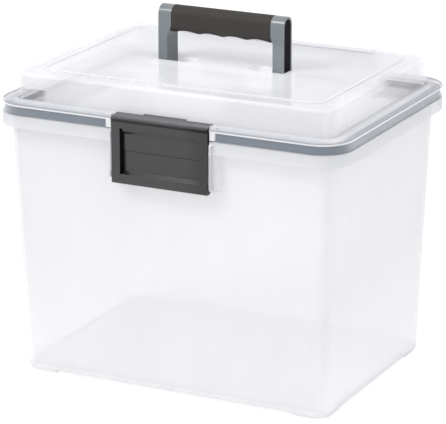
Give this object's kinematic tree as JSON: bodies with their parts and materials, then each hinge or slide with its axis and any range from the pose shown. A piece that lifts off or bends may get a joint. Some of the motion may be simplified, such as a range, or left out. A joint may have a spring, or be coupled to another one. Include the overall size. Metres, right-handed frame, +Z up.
{
  "type": "portable file box",
  "caption": "Clear letter-size file box with a gasketed lift-off lid, a swinging latch on each long side and a rigid carry handle with a finger grip.",
  "frame": {"origin": "centre of the box on the floor under its feet", "axes": "+Z up, -Y the front with a latch, +X right; the long sides face -Y and +Y"},
  "size_m": [0.355, 0.2688, 0.3447],
  "materials": {
    "clear_plastic": "clear, slightly frosted polypropylene",
    "gasket": "soft grey foam seal",
    "handle": "satin grey plastic",
    "grip": "soft matt dark grip",
    "inlay": "matt dark plastic",
    "latch": "satin charcoal plastic"
  },
  "bodies": {
    "box": {"bin": "clear_plastic"},
    "lid": {"lid": "clear_plastic", "gasket": "gasket", "handle_frame": "handle", "handle_grip": "grip", "leg_inlay_left": "inlay", "leg_inlay_right": "inlay"},
    "front_latch": {"front_latch": "latch"},
    "rear_latch": {"rear_latch": "latch"}
  },
  "joints": [
    {"name": "lid_lift", "type": "slide", "parent": "box", "child": "lid", "axis": [0, 0, 1], "range_m": [0, 0.15]},
    {"name": "front_latch_open", "type": "hinge", "parent": "box", "child": "front_latch", "pos_m": [0, -0.1288, 0.2129], "axis": [1, 0, 0], "range_deg": [0, 150]},
    {"name": "rear_latch_open", "type": "hinge", "parent": "box", "child": "rear_latch", "pos_m": [0, 0.1288, 0.2129], "axis": [-1, 0, 0], "range_deg": [0, 150]}
  ]
}
